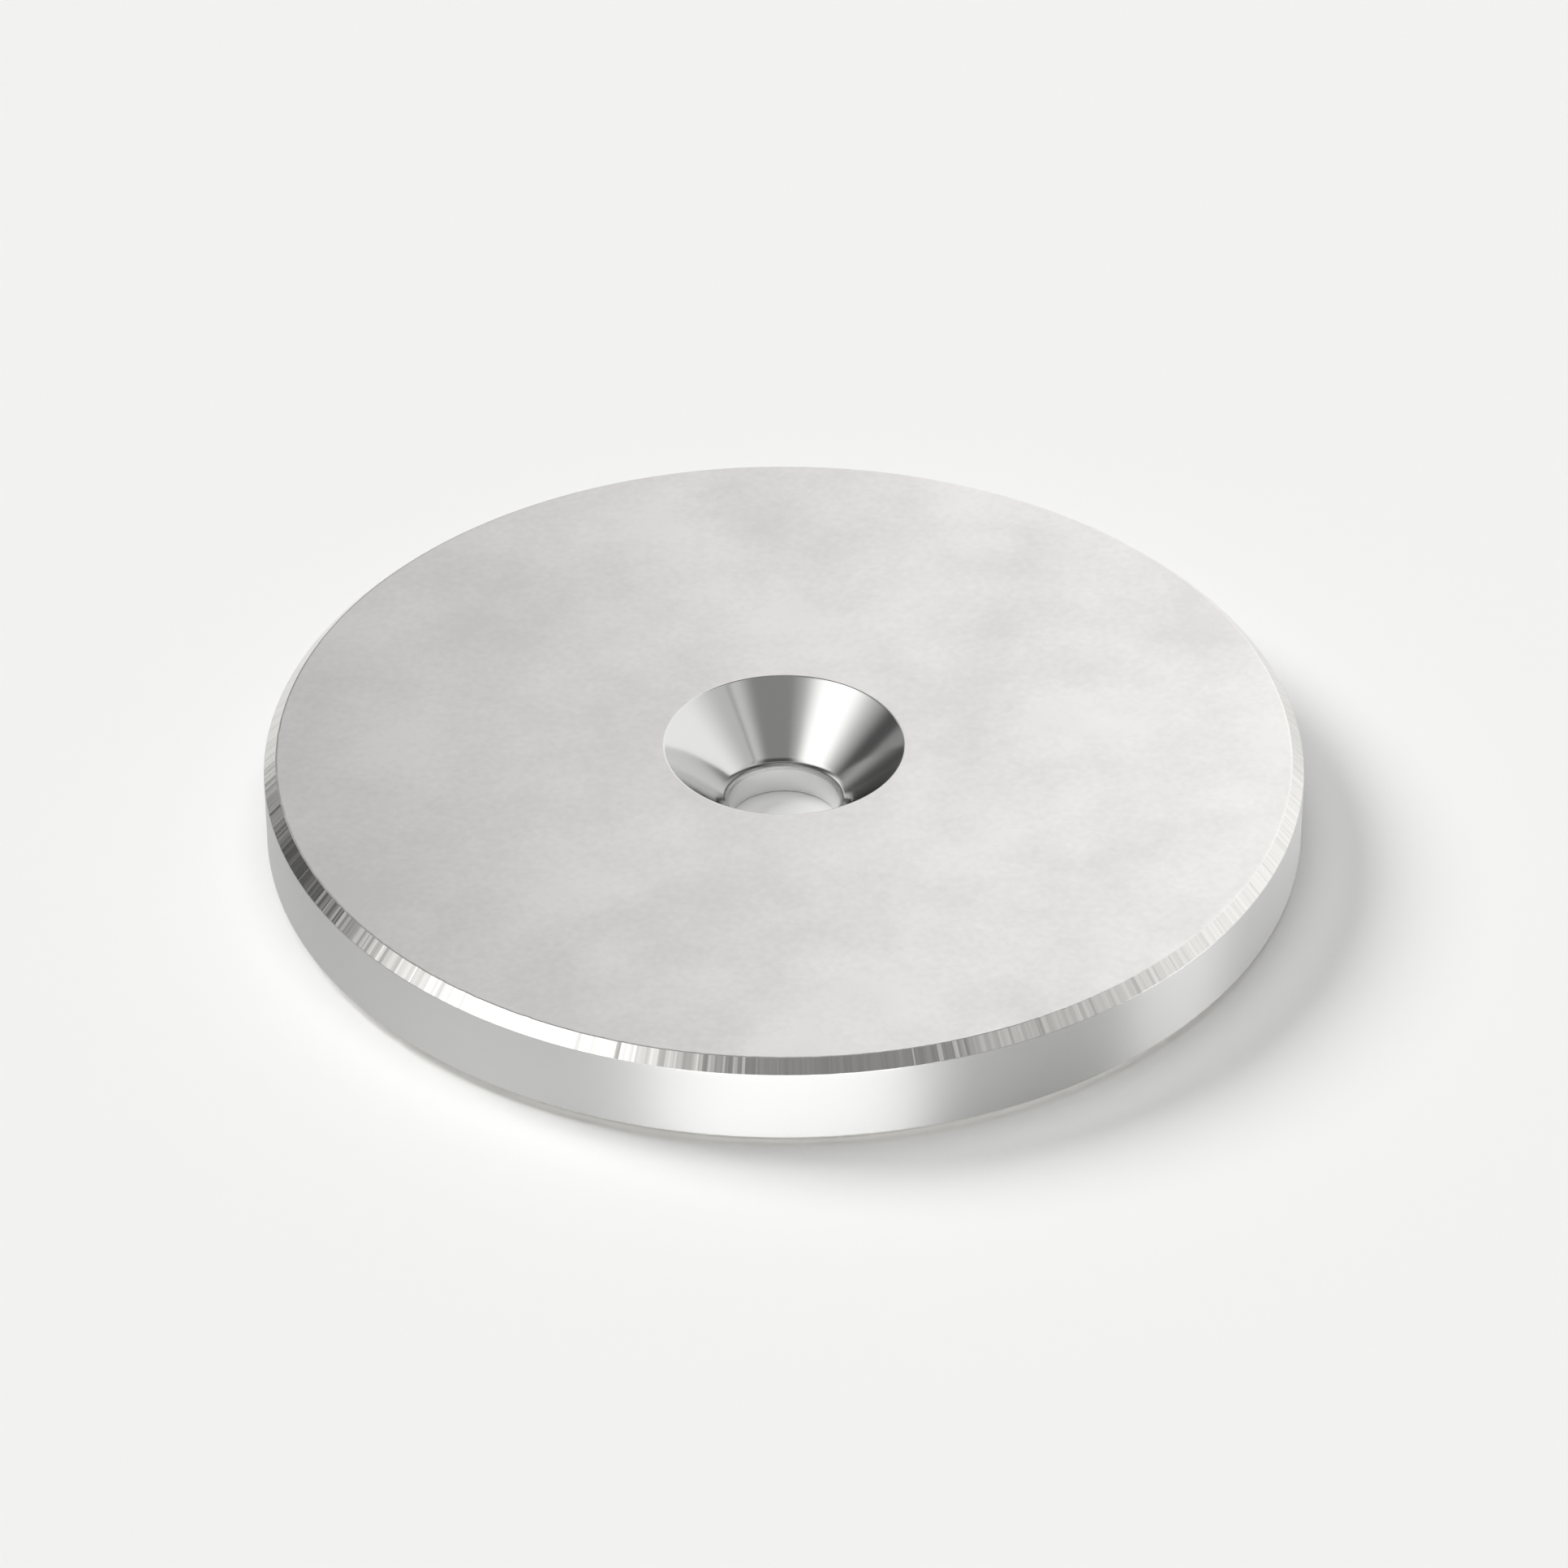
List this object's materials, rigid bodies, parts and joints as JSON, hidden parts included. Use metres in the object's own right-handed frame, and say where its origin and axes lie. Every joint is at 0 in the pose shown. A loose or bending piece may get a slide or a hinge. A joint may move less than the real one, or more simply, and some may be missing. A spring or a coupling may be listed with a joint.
{
  "type": "countersunk disc magnet",
  "caption": "Flat nickel-plated disc magnet with chamfered rims and a countersunk screw hole through its centre.",
  "frame": {"origin": "centre of the flat back face, on the axis of the disc and of its hole", "axes": "+Z along the disc's axis, out of the front face where the countersink opens; +X and +Y in the back face, all round alike"},
  "size_m": [0.042, 0.042, 0.004],
  "materials": {
    "nickel_plating": "satin"
  },
  "bodies": {
    "root": {"disc_magnet": "nickel_plating"}
  },
  "joints": []
}
